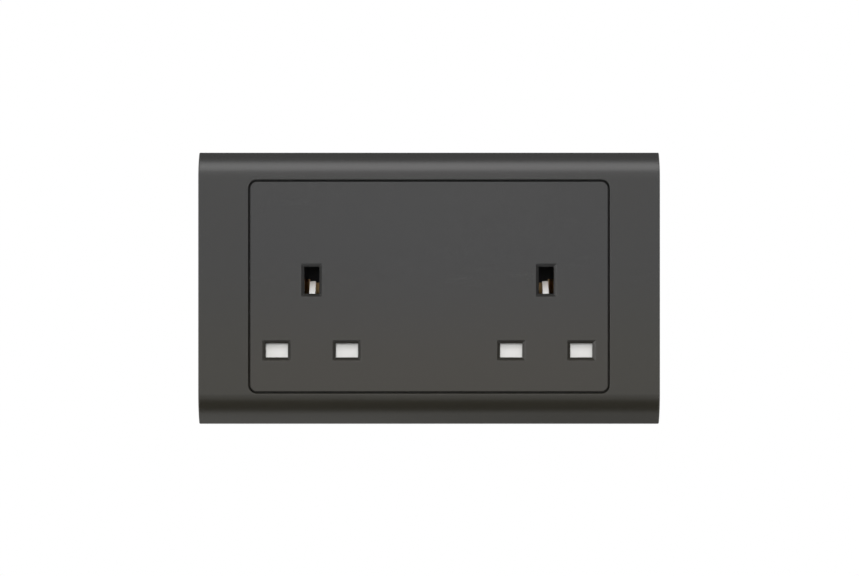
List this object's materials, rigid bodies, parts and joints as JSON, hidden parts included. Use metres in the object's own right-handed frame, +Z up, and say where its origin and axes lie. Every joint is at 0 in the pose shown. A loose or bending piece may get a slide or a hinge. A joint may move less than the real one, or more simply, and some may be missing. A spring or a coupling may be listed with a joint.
{
  "type": "wall socket outlet",
  "caption": "Flush twin wall socket for flat three-pin plugs, with sprung shutters, a clip-on frame rolled off at top and bottom, and rear wire terminals.",
  "frame": {"origin": "midway between the two fixing screws, on the wall plane that the rear rim rests on", "axes": "+Z up, +X right as seen from the room, the front faces -Y, +Y into the wall"},
  "size_m": [0.146, 0.0345, 0.0861],
  "materials": {
    "graphite_plastic": "fine-grained satin graphite plastic",
    "white_plastic": "plain white moulded plastic",
    "black_plastic": "black thermoset moulding",
    "brass": "rolled brass strip and bar",
    "plated_steel": "zinc-plated pressed steel",
    "screw_steel": "bright plated screw steel",
    "spring_steel": "drawn spring wire"
  },
  "bodies": {
    "socket": {"surround": "graphite_plastic", "socket_panel": "graphite_plastic", "mounting_yoke": "plated_steel", "base_moulding": "black_plastic", "shutter_spring_left": "spring_steel", "shutter_spring_right": "spring_steel", "live_busbar": "brass", "neutral_busbar": "brass", "earth_busbar": "brass", "live_terminal": "brass", "neutral_terminal": "brass", "earth_terminal_left": "brass", "earth_terminal_right": "brass", "earth_link": "brass", "earth_rivet": "brass", "fixing_screw_left": "screw_steel", "fixing_screw_right": "screw_steel", "joining_screw_upper_left": "screw_steel", "joining_screw_upper_right": "screw_steel", "joining_screw_lower_middle": "screw_steel"},
    "shutter_left": {"shutter_left": "white_plastic"},
    "shutter_right": {"shutter_right": "white_plastic"},
    "live_terminal_screw": {"live_terminal_screw": "screw_steel"},
    "neutral_terminal_screw": {"neutral_terminal_screw": "screw_steel"},
    "earth_terminal_left_screw": {"earth_terminal_left_screw": "screw_steel"},
    "earth_terminal_right_screw": {"earth_terminal_right_screw": "screw_steel"}
  },
  "joints": [
    {"name": "shutter_left_slide", "type": "slide", "parent": "socket", "child": "shutter_left", "axis": [0, 0, -1], "range_m": [0, 0.005], "stiffness_N_per_m": 150, "springref_m": -0.004, "deforming": ["shutter_spring_left"]},
    {"name": "shutter_right_slide", "type": "slide", "parent": "socket", "child": "shutter_right", "axis": [0, 0, -1], "range_m": [0, 0.005], "stiffness_N_per_m": 150, "springref_m": -0.004, "deforming": ["shutter_spring_right"]},
    {"name": "live_terminal_screw_feed", "type": "slide", "parent": "socket", "child": "live_terminal_screw", "axis": [0, -1, 0], "range_m": [0, 0.0033]},
    {"name": "neutral_terminal_screw_feed", "type": "slide", "parent": "socket", "child": "neutral_terminal_screw", "axis": [0, -1, 0], "range_m": [0, 0.0033]},
    {"name": "earth_terminal_left_screw_feed", "type": "slide", "parent": "socket", "child": "earth_terminal_left_screw", "axis": [0, -1, 0], "range_m": [0, 0.0033]},
    {"name": "earth_terminal_right_screw_feed", "type": "slide", "parent": "socket", "child": "earth_terminal_right_screw", "axis": [0, -1, 0], "range_m": [0, 0.0033]}
  ]
}
